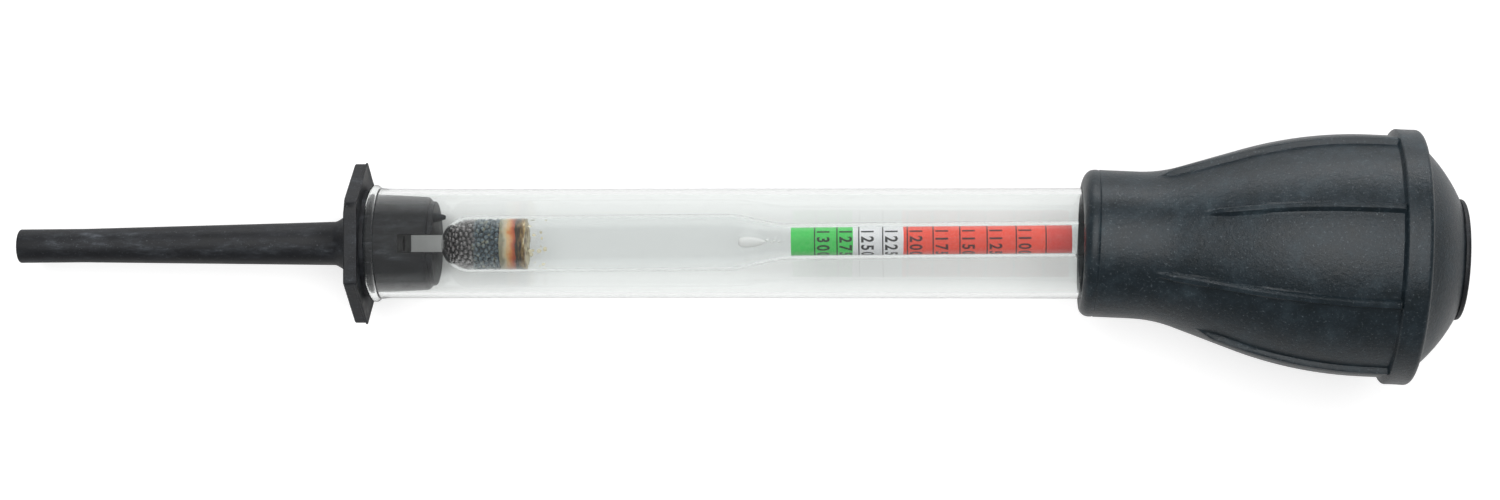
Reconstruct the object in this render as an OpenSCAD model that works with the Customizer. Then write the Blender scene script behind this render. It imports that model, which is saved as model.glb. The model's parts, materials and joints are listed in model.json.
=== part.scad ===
// Syringe-type battery hydrometer, lying on a table.
// A squeeze bulb draws acid up the nozzle into a glass barrel, where a weighted float
// shows the strength on its paper scale.
// Every piece is drawn on the barrel's own axis, from the nozzle tip along +X.
// on_table() then lays the whole instrument down: it touches the table with one flat of the
// nozzle's hexagon and with the bulb's ring, so its axis climbs a few degrees to the bulb.

/* [Glass barrel] */
// Outside diameter of the glass tube
barrel_d = 20; // [19:0.5:21]
// Wall of the glass tube
barrel_wall = 1.0; // [0.8:0.1:1.4]
// Length of the glass tube
barrel_len = 150; // [145:1:156]
// How far the beaded lip at the nozzle end stands proud of the tube
bead_proud = 0.7; // [0.6:0.1:1]

/* [Nozzle] */
// Length of the nozzle tube, from its tip to the hexagon
nozzle_len = 62; // [50:1:75]
// Outside diameter of the tube along its straight tip
tip_d = 6; // [5.6:0.1:7]
// Length of the straight tip
tip_len = 12; // [8:1:20]
// Outside diameter of the tube where it meets the hexagon
nozzle_root_d = 7.8; // [7:0.1:9]
// Radius of the fillet between the tube and the hexagon
root_fillet = 3; // [1:0.5:4]
// Bore through the nozzle
nozzle_bore_d = 3.0; // [2.4:0.1:3.2]
// Hexagon, across its flats
hex_flats = 25.4; // [24:0.1:27]
// Thickness of the hexagon
hex_t = 2.4; // [1.8:0.1:3.5]
// How far inside the tube's outer skin the round seat behind the hexagon ends
seat_inset = 0.3; // [0:0.1:0.7]
// Height of that seat
seat_t = 0.7; // [0.4:0.1:1.5]
// Length of the plug inside the glass, up to its end step
plug_len = 11.2; // [8:0.1:14]
// How far the plug narrows from the glass to its inner end
plug_taper = 0.5; // [0.3:0.1:1]
// Radius round the plug's inner edge
plug_round = 0.8; // [0.3:0.1:1.5]
// How far inside the plug's inner end the low step on it starts
step_inset = 0.8; // [0.8:0.1:2]
// Height of the low step
step_t = 0.9; // [0.5:0.1:1.5]
// Width of the slot across the plug, which the float cannot seal
slot_w = 3.2; // [2.6:0.1:4]
// Depth of the slot, from the end of the step
slot_depth = 6.1; // [3:0.1:8]
// Height of the small pointed nib left on the end step
nib_t = 1.1; // [0.5:0.1:1.5]

/* [Float] */
// Outside diameter of the float's body
float_d = 10.6; // [9:0.1:12]
// Wall of the float's body
float_wall = 0.5; // [0.4:0.05:0.8]
// Length of the body, from its round end to the shoulder
float_body_len = 52; // [44:1:56]
// Length of the shoulder, where the body narrows to the stem
shoulder_len = 12; // [8:1:16]
// Length of the stem, from the shoulder to its closed end
stem_len = 60; // [56:1:64]
// Outside diameter of the stem
stem_d = 6.8; // [6.2:0.1:7.4]
// Wall of the stem
stem_wall = 0.55; // [0.4:0.05:0.6]
// Angle that the float lies askew in the barrel, seen from above
float_askew = 0.5; // [0:0.1:0.5]

/* [Ballast] */
// Diameter of one lead ball
shot_d = 1.3; // [1.2:0.1:2]
// Gap left between neighbouring balls
shot_gap = 0.05; // [0.02:0.01:0.1]
// Height that the shot fills, from the inside of the round end
shot_fill = 11.2; // [8:0.1:14]
// Thickness of the clear resin that holds the shot down
resin_t = 1.6; // [1:0.1:3]
// Thickness of the red sealing wax
red_wax_t = 1.5; // [0.8:0.1:3]
// Thickness of the brown wax over it
brown_wax_t = 1.4; // [0.8:0.1:3]

/* [Paper scale] */
// Outside diameter of the rolled paper
scale_d = 5.2; // [4.8:0.05:5.2]
// Thickness of the rolled paper
scale_t = 0.15; // [0.1:0.05:0.3]
// Length of the rolled paper
scale_len = 51; // [46:0.5:52]
// Distance from the shoulder to the start of the paper
scale_start = 0.3; // [0:0.1:2]
// Diameter of the drop of glue at the foot of the stem
glue_d = 2.5; // [1.5:0.1:3]
// Length of the drop of glue
glue_len = 5; // [3:0.5:7]

/* [Squeeze bulb] */
// Length of the bulb's moulding, from its mouth to its flat end
bulb_len = 67; // [64:0.5:76]
// Wall of the neck, from the glass to its outer skin
neck_wall = 3.3; // [2.6:0.1:4]
// Length of the straight neck
neck_len = 9.5; // [7:0.5:12]
// Length of the barrel inside the neck
grip_len = 20.9; // [19.5:0.1:21.5]
// Largest diameter of the bulb's body
bulb_d = 43.6; // [42:0.2:45]
// Angle of the bulb's shoulder to its axis
bulb_slope = 18.3; // [16:0.1:20]
// Radius of the hollow curve between the neck and the shoulder
neck_curve = 24; // [16:1:30]
// Radius of the round curve between the shoulder and the body
body_curve = 73; // [60:1:80]
// Wall of the bulb
bulb_wall = 2.2; // [1.6:0.1:2.6]
// Radius round the lip of the mouth
mouth_round = 1.8; // [0.5:0.1:2.4]
// Diameter of the ring round the closed end
ring_d = 46; // [45.6:0.2:48]
// Width of the ring
ring_w = 5.1; // [5:0.1:7]
// Radius round the ring's edges
ring_round = 1.0; // [0.5:0.1:1.8]
// Length of the dome beyond the ring
dome_len = 7.4; // [6:0.1:9]
// Diameter of the dome where it leaves the ring
dome_d = 40.8; // [39:0.2:42]
// Radius of the dome's curve
dome_curve = 30; // [20:1:60]
// Angle that the rubber bulb leans sideways on the glass
bulb_lean = 2.6; // [0:0.1:3]
// Number of ribs along the bulb
rib_n = 8; // [8:4:12]
// Width of a rib
rib_w = 1.1; // [0.8:0.1:1.4]
// Height of a rib
rib_h = 0.6; // [0.3:0.1:0.8]
// Distance from the mouth to the start of a long rib
rib_long_start = 13.2; // [12:0.1:16]
// Distance from the mouth to the start of a short rib
rib_short_start = 21.8; // [18:0.1:26]
// Length over which a rib rises to its height
rib_rise = 5; // [2:0.5:8]
// Distance from the mouth to the start of the flank that a finger presses in
flank_start = 27; // [26.5:0.1:32]

/* [End plug of the bulb] */
// Diameter of the plug's head
cap_d = 21.8; // [19:0.1:22]
// Thickness of the plug's head
cap_t = 1.1; // [1:0.05:2.5]
// Radius round the edge of the head
cap_round = 0.6; // [0.2:0.1:0.9]
// Diameter of the plug's shank in the bulb's end hole
cap_shank_d = 15; // [12:0.1:17]

/* [Fits] */
// Radial clearance of rubber on glass
rubber_fit = 0.03; // [0.02:0.01:0.05]
// Clearance of a piece that is held inside another
seated_gap = 0.02; // [0.01:0.01:0.05]
// Gap under the float, and between the float and the plug
float_gap = 0.2; // [0.15:0.05:0.3]
// Gap all round each flank of the bulb
flank_gap = 0.3; // [0.2:0.05:0.4]

/* [Hidden] */
$fn = 96;
curve_steps = 8;
shot_fn = 24;

rubber_black = "#34383b";
rubber_grey = "#45494c";

// Places along the axis, from the nozzle tip
hex_x = nozzle_len;
seat_x = hex_x + hex_t;
barrel_x = seat_x + seat_t + rubber_fit;
barrel_end_x = barrel_x + barrel_len;
plug_x = seat_x + seat_t + plug_len;
nozzle_end_x = plug_x + step_t;
mouth_x = barrel_end_x - grip_len;

// The glass barrel and what fits it
barrel_r = barrel_d / 2;
bore_r = barrel_r - barrel_wall;
bead_edge_r = barrel_r + bead_proud;
seat_r = barrel_r - seat_inset;
plug_end_r = bore_r - plug_taper;
step_r = plug_end_r - step_inset;

// The float lies on the bottom of the barrel with its round end against the nozzle's plug
float_r = float_d / 2;
float_x = nozzle_end_x + float_gap;
float_z = -(bore_r - float_r - float_gap);
shoulder_x = float_body_len;
stem_x = shoulder_x + shoulder_len;
float_len = stem_x + stem_len;
chamber_r = float_r - float_wall;
stem_r = stem_d / 2;
stem_bore_r = stem_r - stem_wall;
shot_top_x = float_wall + shot_fill;
red_wax_x = shot_top_x + resin_t;
brown_wax_x = red_wax_x + red_wax_t;
scale_x = stem_x + scale_start;

// The bulb's outline, from its mouth along its own axis
neck_r = barrel_r + neck_wall;
bulb_r = bulb_d / 2;
curve_rise = (neck_curve + body_curve) * (1 - cos(bulb_slope));
slope_len = (bulb_r - neck_r - curve_rise) / sin(bulb_slope);
slope_x = neck_len + neck_curve * sin(bulb_slope);
slope_r = neck_r + neck_curve * (1 - cos(bulb_slope));
crown_x = slope_x + slope_len * cos(bulb_slope);
crown_r = slope_r + slope_len * sin(bulb_slope);
full_x = crown_x + body_curve * sin(bulb_slope);
ring_end_x = bulb_len - dome_len;
ring_x = ring_end_x - ring_w;
ring_r = ring_d / 2;
throat_spare = 1.1;
throat_flare = 5;
throat_len = grip_len + throat_spare;
throat_r = barrel_r + rubber_fit;

// The flank lies between the two ribs nearest the side of the bulb
rib_pitch = 360 / rib_n;
flank_end = ring_x - 1;
flank_edge = rib_w / 2 + flank_gap;
flank_start_h = bulb_edge(flank_start) * sin(rib_pitch / 2) - flank_edge;
flank_end_h = bulb_edge(flank_end) * sin(rib_pitch / 2) - flank_edge;

// The neck bends just before its straight part ends, so that it is a round bar on both sides
bend_len = neck_len - 1;
lean_x = mouth_x + bend_len;

// The rest on the table: the front edge of the hexagon's lower flat, and the ring's rounded edge
hex_r = hex_flats / 2 / cos(30);
ring_edge_x = lean_x + (ring_x + ring_round - bend_len) * cos(bulb_lean);
ring_edge_r = ring_r - ring_round;
rest_run = ring_edge_x - hex_x;
rest_rise = ring_edge_r - hex_flats / 2;
tilt = atan(rest_rise / rest_run) + asin(ring_round / norm([rest_run, rest_rise]));
lift = hex_flats / 2 * cos(tilt) - hex_x * sin(tilt);

// The middle of the instrument on the table, which is the origin
cap_end_x = lean_x + (bulb_len + cap_t - bend_len) * cos(bulb_lean);
middle_x = (cap_end_x * cos(tilt) + cap_d / 2 * (sin(tilt) + sin(bulb_lean)) - tip_d / 2 * sin(tilt)) / 2;
middle_y = -((ring_x + ring_end_x) / 2 - bend_len) * sin(bulb_lean);

// Points of an arc about a centre, from one angle to another
function arc(centre, r, from, to) =
    [for (i = [0 : curve_steps]) let (a = from + (to - from) * i / curve_steps) centre + r * [cos(a), sin(a)]];

// Points of the arc of radius r that bulges outwards from p to q
function bulge(p, q, r) =
    let (
        chord = q - p,
        half = norm(chord) / 2,
        out = [-chord[1], chord[0]] / norm(chord),
        centre = (p + q) / 2 - out * sqrt(r * r - half * half),
        a = atan2(p[1] - centre[1], p[0] - centre[0]),
        b = atan2(q[1] - centre[1], q[0] - centre[0])
    )
    arc(centre, r, a, b);

// Points of a smooth step from radius r0 to radius r1, from x over a length
function eased(x, length, r0, r1) =
    [for (i = [0 : 2 * curve_steps]) let (u = i / (2 * curve_steps))
        [x + length * u, r0 + (r1 - r0) * (1 - cos(180 * u)) / 2]];

// Radius of the bulb's skin at a distance from its mouth, without ribs and ring
function bulb_edge(x) =
    x < neck_len ? neck_r
    : x < slope_x ? neck_r + neck_curve - sqrt(neck_curve * neck_curve - pow(x - neck_len, 2))
    : x < crown_x ? slope_r + (x - slope_x) * tan(bulb_slope)
    : x < full_x ? bulb_r - body_curve + sqrt(body_curve * body_curve - pow(full_x - x, 2))
    : bulb_r;

// Points of the bulb's skin between two distances, moved out by a height
function bulb_skin(from, to, out = 0, steps = 20) =
    [for (i = [0 : steps]) let (x = from + (to - from) * i / steps) [x, bulb_edge(x) + out]];

// Turns a profile of [distance along the axis, radius] points about the axis
module turned(profile) {
    rotate([0, 90, 0])
        rotate_extrude()
            polygon([for (p = profile) [p[1], p[0]]]);
}

// A round bar along the axis, from one place to another
module bar(d, from, to) {
    translate([from, 0, 0])
        rotate([0, 90, 0])
            cylinder(d = d, h = to - from);
}

// Moves a piece from the barrel's axis to where it lies on the table
module on_table() {
    translate([-middle_x, -middle_y, lift])
        rotate([0, -tilt, 0])
            children();
}

// Moves a piece from the float's own axis, which starts at its round end, into the barrel
module in_barrel() {
    on_table()
        translate([float_x + float_body_len / 2, 0, float_z])
            rotate([0, 0, float_askew])
                translate([-float_body_len / 2, 0, 0])
                    children();
}

// Moves a piece from the bulb's own axis, which starts at its mouth, onto the barrel
module leaning() {
    translate([lean_x, 0, 0])
        rotate([0, 0, -bulb_lean])
            translate([-bend_len, 0, 0])
                children();
}

// Hard rubber nozzle: one moulding with a tube, a hexagon that stops it rolling, and a plug
module nozzle() {
    root_r = nozzle_root_d / 2;
    seat_end_x = seat_x + seat_t;
    tip_chamfer = 0.4;
    step_chamfer = 0.3;
    land_len = 1;
    tube = concat(
        [[0, 0], [0, tip_d / 2 - tip_chamfer], [tip_chamfer, tip_d / 2], [tip_len, tip_d / 2]],
        arc([hex_x - root_fillet, root_r + root_fillet], root_fillet, -90, 0),
        [[hex_x + hex_t / 2, root_r + root_fillet], [hex_x + hex_t / 2, 0]]);
    plug = concat(
        [[seat_x - hex_t / 2, 0], [seat_x - hex_t / 2, seat_r], [seat_end_x, seat_r]],
        [[seat_end_x, bore_r - rubber_fit], [seat_end_x + land_len, bore_r - rubber_fit]],
        arc([plug_x - plug_round, plug_end_r - plug_round], plug_round, 90, 0),
        [[plug_x, step_r], [nozzle_end_x, step_r - step_chamfer], [nozzle_end_x, 0]]);
    nib_angle = 50;
    nib_inset = 0.9;
    nib_d = 1.8;

    color(rubber_black)
        on_table()
            difference() {
                union() {
                    turned(tube);
                    translate([hex_x, 0, 0])
                        rotate([0, 90, 0])
                            rotate([0, 0, 30])
                                cylinder(r = hex_r, h = hex_t, $fn = 6);
                    turned(plug);
                    rotate([nib_angle, 0, 0])
                        translate([nozzle_end_x - 0.2, step_r - nib_inset, 0])
                            rotate([0, 90, 0])
                                cylinder(d1 = nib_d, d2 = nib_d / 4, h = nib_t + 0.2);
                }
                bar(nozzle_bore_d, -1, nozzle_end_x + 1);
                translate([nozzle_end_x - slot_depth, -slot_w / 2, -barrel_r])
                    cube([slot_depth + 1, slot_w, 2 * barrel_r]);
            }
}

// Glass barrel: a straight tube with a beaded lip at the nozzle end and a fire-polished far end
module barrel() {
    bead_r = (bead_edge_r - bore_r) / 2;
    bead_centre = [barrel_x + bead_r, bore_r + bead_r];
    wall_angle = asin((barrel_r - bead_centre[1]) / bead_r);
    edge_r = barrel_wall / 2;
    wall = concat(
        arc(bead_centre, bead_r, 270, 180),
        arc(bead_centre, bead_r, 169, wall_angle),
        arc([barrel_end_x - edge_r, bore_r + edge_r], edge_r, 90, -90));

    color("#dfe7e6", 0.35)
        on_table()
            turned(wall);
}

// Float envelope: one blown glass vial, closed at both ends, with its stem drawn out thin
module float_glass() {
    outside = concat(
        arc([float_r, 0], float_r, 180, 90),
        eased(shoulder_x, shoulder_len, float_r, stem_r),
        arc([float_len - stem_r, 0], stem_r, 90, 0));
    inside = concat(
        arc([float_r, 0], chamber_r, 180, 90),
        eased(shoulder_x, shoulder_len, chamber_r, stem_bore_r),
        arc([float_len - stem_r, 0], stem_bore_r, 90, 0));

    color("#e4ecea", 0.35)
        in_barrel()
            difference() {
                turned(outside);
                turned(inside);
            }
}

// Lead shot: loose balls in rings, layer on layer from the float's round end
module ballast_shot() {
    pitch = shot_d + shot_gap;
    play_r = chamber_r - shot_d / 2 - shot_gap;
    layers = floor(shot_fill / pitch);

    color("#3d3c3f")
        in_barrel()
            for (layer = [0 : layers - 1]) {
                x = shot_top_x - (layer + 0.5) * pitch;
                depth = max(float_r - x, 0);
                reach = depth < play_r ? sqrt(play_r * play_r - depth * depth) : -1;
                for (ring = [0 : floor(play_r / pitch)]) {
                    ring_play = reach - ring * pitch;
                    count = ring_play < pitch / 2 ? 1 : floor(180 / asin(pitch / 2 / ring_play));
                    if (ring_play >= 0)
                        for (k = [0 : count - 1])
                            translate([x, 0, 0])
                                rotate([(k + layer / 2) * 360 / count, 0, 0])
                                    translate([0, count == 1 ? 0 : ring_play, 0])
                                        sphere(d = shot_d, $fn = shot_fn);
                }
            }
}

// Clear resin poured on the shot, which keeps it in the round end
module ballast_resin() {
    color("#a9adaa")
        in_barrel()
            bar(2 * (chamber_r - seated_gap), shot_top_x, red_wax_x);
}

// Red sealing wax on the resin
module red_wax_seal() {
    color("#c4522c")
        in_barrel()
            bar(2 * (chamber_r - seated_gap), red_wax_x, brown_wax_x);
}

// Brown wax over the red
module brown_wax_seal() {
    color("#8a7340")
        in_barrel()
            bar(2 * (chamber_r - seated_gap), brown_wax_x, brown_wax_x + brown_wax_t);
}

// Paper scale: a printed strip rolled into a tube inside the stem
module scale_paper() {
    color("#e2533f")
        in_barrel()
            difference() {
                bar(scale_d, scale_x, scale_x + scale_len);
                bar(scale_d - 2 * scale_t, scale_x - 1, scale_x + scale_len + 1);
            }
}

// Drop of white glue, lying on the glass below the foot of the stem
module scale_glue() {
    foot_x = shoulder_x + shoulder_len / 5;
    drop = [for (i = [0 : 2 * curve_steps]) let (u = i / (2 * curve_steps))
        [glue_len * u, glue_d / 2 * 2.6 * sqrt(u) * (1 - u)]];
    wall_drop = (chamber_r - stem_bore_r) * 0.5;
    slope = atan(wall_drop * 2 / shoulder_len);

    color("#f4f4f0")
        in_barrel()
            translate([foot_x, 0, -(chamber_r - glue_d / 2 - 0.6)])
                rotate([0, -slope, 0])
                    turned(drop);
}

// The bulb's body on its own axis, from the end of the straight neck to the flat end
module bulb_body() {
    outline = concat(
        [[neck_len - 4, 0], [neck_len - 4, neck_r]],
        bulb_skin(neck_len, ring_x),
        arc([ring_x + ring_round, ring_r - ring_round], ring_round, 180, 90),
        arc([ring_end_x - ring_round, ring_r - ring_round], ring_round, 90, 0),
        bulge([ring_end_x, dome_d / 2], [bulb_len, cap_d / 2], dome_curve),
        [[bulb_len, 0]]);
    turned(outline);
}

// The air space of the bulb, on the bulb's own axis
module bulb_chamber() {
    flare_end = throat_len + throat_flare;
    dome_x = ring_end_x - bulb_wall / 2;
    chamber_end = bulb_len - bulb_wall;
    space = concat(
        [[throat_len - 1, 0], [throat_len - 1, throat_r - 1.6]],
        bulb_skin(flare_end, dome_x, -bulb_wall),
        bulge([dome_x, dome_d / 2 - bulb_wall], [chamber_end, cap_d / 2], dome_curve),
        [[chamber_end, 0]]);
    turned(space);
}

// One rib along the bulb, standing up along +Z from a start distance to the ring
module bulb_rib(start) {
    crest = concat(
        [[start, bulb_edge(start) - 0.1]],
        bulb_skin(start + rib_rise, ring_x + 0.5, rib_h, 10));
    root = [[ring_x + 0.5, bulb_edge(ring_x) - bulb_wall / 2], [start, bulb_edge(start) - bulb_wall / 2]];
    mid = [for (i = [10 : -1 : 1]) let (x = start + (ring_x - start) * i / 10) [x, bulb_edge(x) - bulb_wall / 2]];
    rotate([90, 0, 0])
        translate([0, 0, -rib_w / 2])
            linear_extrude(rib_w)
                polygon(concat(crest, [root[0]], mid, [root[1]]));
}

// The prism that cuts one flank out of the bulb's wall, grown or shrunk by a margin
module flank_prism(side, margin) {
    nose_r = flank_start_h + margin;
    outline = concat(
        arc([flank_start + flank_start_h, 0], nose_r, 270, 90),
        [[flank_end + margin, flank_end_h + margin], [flank_end + margin, -flank_end_h - margin]]);
    translate([0, side * bulb_r / 2, 0])
        rotate([-90 * side, 0, 0])
            linear_extrude(bulb_r)
                polygon(outline);
}

// Rubber bulb: neck, body, ribs, ring and dome in one moulding, less its two flanks
module bulb_moulding() {
    neck = concat(
        [[mouth_x, 0], [mouth_x, neck_r - mouth_round]],
        arc([mouth_x + mouth_round, neck_r - mouth_round], mouth_round, 180, 90),
        [[lean_x + 4, neck_r], [lean_x + 4, 0]]);

    color(rubber_grey)
        on_table()
            difference() {
                union() {
                    difference() {
                        turned(neck);
                        bend_side(1);
                    }
                    difference() {
                        leaning() bulb_body();
                        bend_side(-1);
                    }
                    leaning()
                        for (k = [0 : rib_n - 1])
                            rotate([-(k + 0.5) * rib_pitch, 0, 0])
                                bulb_rib(k % 2 == 0 ? rib_short_start : rib_long_start);
                }
                bar(2 * throat_r, mouth_x - 1, mouth_x + throat_len + 1);
                leaning() {
                    bulb_chamber();
                    bar(cap_shank_d + 2 * seated_gap, bulb_len - bulb_wall - 1, bulb_len + 1);
                    flank_prism(1, 0);
                    flank_prism(-1, 0);
                }
            }
}

// Everything on one side of the plane where the straight neck and the leaning body meet
module bend_side(side) {
    reach = 2 * ring_d;
    translate([lean_x, 0, 0])
        rotate([0, 0, -bulb_lean / 2])
            translate([side * reach / 2, 0, 0])
                cube(reach, center = true);
}

// One flank of the bulb's wall, free to be pressed in by a finger
module bulb_flank(side) {
    color(rubber_grey)
        on_table()
            leaning()
                difference() {
                    intersection() {
                        flank_prism(side, -flank_gap);
                        bulb_body();
                    }
                    bulb_chamber();
                }
}

// The flank towards +Y
module bulb_flank_left() {
    bulb_flank(1);
}

// The flank towards -Y
module bulb_flank_right() {
    bulb_flank(-1);
}

// Rubber plug that closes the moulding hole in the bulb's end
module bulb_end_plug() {
    end_x = bulb_len + cap_t;
    outline = concat(
        [[bulb_len - bulb_wall, 0], [bulb_len - bulb_wall, cap_shank_d / 2]],
        [[bulb_len, cap_shank_d / 2], [bulb_len, cap_d / 2]],
        arc([end_x - cap_round, cap_d / 2 - cap_round], cap_round, 90, 0),
        [[end_x, 0]]);

    color(rubber_black)
        on_table()
            leaning()
                turned(outline);
}

nozzle();
barrel();
float_glass();
ballast_shot();
ballast_resin();
red_wax_seal();
brown_wax_seal();
scale_paper();
scale_glue();
bulb_moulding();
bulb_flank_left();
bulb_flank_right();
bulb_end_plug();
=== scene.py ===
import json
import math
import random

import bmesh
import bpy
import numpy as np
from mathutils import Matrix, Vector, noise


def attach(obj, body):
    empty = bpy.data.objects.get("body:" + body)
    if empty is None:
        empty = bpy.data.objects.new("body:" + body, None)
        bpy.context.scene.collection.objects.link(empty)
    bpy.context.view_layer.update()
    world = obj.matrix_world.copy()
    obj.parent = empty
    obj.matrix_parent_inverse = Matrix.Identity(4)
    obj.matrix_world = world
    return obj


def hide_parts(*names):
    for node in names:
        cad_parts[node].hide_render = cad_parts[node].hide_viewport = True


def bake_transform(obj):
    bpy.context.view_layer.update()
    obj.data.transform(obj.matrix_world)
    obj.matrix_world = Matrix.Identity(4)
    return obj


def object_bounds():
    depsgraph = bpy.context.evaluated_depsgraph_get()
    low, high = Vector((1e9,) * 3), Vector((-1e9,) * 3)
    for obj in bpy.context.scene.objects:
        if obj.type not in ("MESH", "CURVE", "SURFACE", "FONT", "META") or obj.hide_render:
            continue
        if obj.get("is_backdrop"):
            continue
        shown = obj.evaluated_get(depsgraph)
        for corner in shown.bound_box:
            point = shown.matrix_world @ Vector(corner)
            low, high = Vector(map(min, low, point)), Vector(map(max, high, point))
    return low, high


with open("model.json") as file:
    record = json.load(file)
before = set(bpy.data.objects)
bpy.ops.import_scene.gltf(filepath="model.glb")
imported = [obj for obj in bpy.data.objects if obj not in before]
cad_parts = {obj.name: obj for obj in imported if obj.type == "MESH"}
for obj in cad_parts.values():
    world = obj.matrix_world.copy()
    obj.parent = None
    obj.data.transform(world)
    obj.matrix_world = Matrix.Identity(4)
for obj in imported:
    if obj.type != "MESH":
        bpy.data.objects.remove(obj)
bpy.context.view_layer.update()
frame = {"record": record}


# ---- Where the instrument lies ----
# The hydrometer rests on one flat of the nozzle's hexagon and on the bulb's ring. Its pieces are made
# in millimetres on the barrel's own axis, from the nozzle's tip along +X, and are laid on the table
# by the place and the direction of the nozzle's bore.
bore_mount = next(m for m in frame["record"]["mounts"] if m["name"] == "nozzle_bore")
axis_on_table = -Vector(bore_mount["axis"]).normalized()
climb = math.atan2(axis_on_table.z, axis_on_table.x)
on_table = (Matrix.Translation(Vector(bore_mount["pos_m"]))
            @ Matrix.Rotation(-climb, 4, "Y") @ Matrix.Scale(0.001, 4))


# ---- Nozzle ----
# One moulding of hard rubber: a tapered tube, a hexagon that stops the instrument rolling, and a
# plug that closes the glass. The mould leaves a thin lip of flash round the hexagon's inner edge,
# a nick at one corner and a small nib on the plug's end, which a slot cuts across.
tip_r, tip_len, taper_len, root_r, flare_len, flare_h = 3.08, 12.0, 47, 3.98, 3.5, 2.5
bore_r, droop = 1.5, 0.5
hex_x, hex_t, hex_flats = 62.0, 2.4, 25.4
corner_round, flash_h, flash_t = 0.25, 0.06, 0.32
seat_r, seat_end_x = 9.7, 65.1
plug_r, plug_end_r, plug_end_x = 8.97, 8.5, 76.3
step_r, nozzle_end_x = 7.7, 77.2
slot_w, slot_depth, slot_cut_w = 3.2, 6.1, 24
# The hexagon's faces: its small chamfer, the shallow recess in its inner face, and the nick at one corner
chamfer_t, chamfer_scale, recess, nick_spot, nick_r = 0.22, 0.985, 0.1, Vector((hex_x, 7.2, 12.6)), 1.3
nib_r, nib_tip_r, nib_len, nib_out, nib_y, nib_z = 1.1, 0.35, 2.6, 0.9, 4.6, 4.6


def linear(hex_colour):
    """The linear colour of an sRGB hex value."""
    shades = [int(hex_colour[i:i + 2], 16) / 255 for i in (1, 3, 5)]
    return [s / 12.92 if s <= 0.04045 else ((s + 0.055) / 1.055) ** 2.4 for s in shades] + [1.0]


def arc(x, r, radius, start, end, steps=6):
    """Points of an arc round (x, r) in a profile, between two angles in degrees."""
    turns = [math.radians(start + (end - start) * i / steps) for i in range(steps + 1)]
    return [(x + radius * math.cos(t), r + radius * math.sin(t)) for t in turns]


def turned(profile, steps=96, closed=True):
    """A bmesh of a profile of (x, r) points spun round the axis."""
    bm = bmesh.new()
    points = [bm.verts.new((x, r, 0)) for x, r in profile]
    edges = [bm.edges.new(pair) for pair in zip(points, points[1:])]
    if closed:
        edges.append(bm.edges.new((points[-1], points[0])))
    bmesh.ops.spin(bm, geom=points + edges, cent=(0, 0, 0), axis=(1, 0, 0), angle=2 * math.pi,
                   steps=steps, use_merge=True)
    bmesh.ops.remove_doubles(bm, verts=bm.verts, dist=1e-4)
    bmesh.ops.recalc_face_normals(bm, faces=bm.faces)
    return bm


def object_of(name, bm, place=on_table, crease=35):
    """An object whose mesh is the bmesh, laid in its place, smooth but for its sharp edges."""
    mesh = bpy.data.meshes.new(name)
    bmesh.ops.transform(bm, matrix=place, verts=bm.verts)
    bm.to_mesh(mesh)
    bm.free()
    mesh.shade_smooth()
    mesh.set_sharp_from_angle(angle=math.radians(crease))
    made = bpy.data.objects.new(name, mesh)
    bpy.context.scene.collection.objects.link(made)
    return made


def joined(base, tool, operation):
    """Adds the tool's solid to the base's, or cuts it out, and drops the tool."""
    step = base.modifiers.new("join", "BOOLEAN")
    step.object = tool
    step.operation = operation
    step.solver = "EXACT"
    mesh = bpy.data.meshes.new_from_object(base.evaluated_get(bpy.context.evaluated_depsgraph_get()))
    base.modifiers.clear()
    base.data = mesh
    bpy.data.objects.remove(tool)


def add_node(tree, kind, values=None, links=None, **settings):
    """Adds a node with its settings, the values of its sockets and the links into them."""
    node = tree.nodes.new("ShaderNode" + kind)
    for name, value in settings.items():
        setattr(node, name, value)
    for socket, value in (values or {}).items():
        node.inputs[socket].default_value = value
    for socket, source in (links or {}).items():
        tree.links.new(source, node.inputs[socket])
    return node


def empty_material(name):
    """A material with nothing in it yet, its node tree, and where a point of the piece lies."""
    material = bpy.data.materials.new(name)
    material.use_nodes = True
    tree = material.node_tree
    tree.nodes.clear()
    return material, tree, add_node(tree, "TexCoord").outputs["Object"]


def surface(tree, values, links):
    """Ends a material with the shader of a solid surface."""
    shader = add_node(tree, "BsdfPrincipled", values, links)
    add_node(tree, "OutputMaterial", links={"Surface": shader.outputs["BSDF"]})


def ramp(tree, source, *stops):
    """Adds a colour ramp with its stops of (place, hex colour)."""
    node = add_node(tree, "ValToRGB", links={"Fac": source})
    stops = sorted(stops)
    elements = node.color_ramp.elements
    while len(elements) < len(stops):
        elements.new(1.0)
    for element, (place, colour) in zip(elements, stops):
        element.position = place
        element.color = linear(colour)
    return node


def hexagon(radius, corner, at):
    """A bmesh with one hexagon across the axis, corners at +Y and -Y, its corners rounded."""
    bm = bmesh.new()
    bmesh.ops.create_circle(bm, cap_ends=True, segments=6, radius=radius)
    bmesh.ops.bevel(bm, geom=bm.verts[:], offset=corner, segments=3, profile=0.5, affect="VERTICES",
                    material=-1)
    bmesh.ops.transform(bm, verts=bm.verts, matrix=Matrix.Translation((at, 0, 0))
                        @ Matrix.Rotation(math.radians(90), 4, "Y"))
    return bm


def grown(bm, faces, x, scale):
    """Extrudes a flat end across the axis to a new place and size, and gives the new end."""
    made = bmesh.ops.extrude_face_region(bm, geom=faces)
    bmesh.ops.delete(bm, geom=faces, context="FACES")
    ends = [f for f in made["geom"] if isinstance(f, bmesh.types.BMFace)]
    for v in {v for f in ends for v in f.verts}:
        v.co = (x, v.co.y * scale, v.co.z * scale)
    return ends


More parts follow.
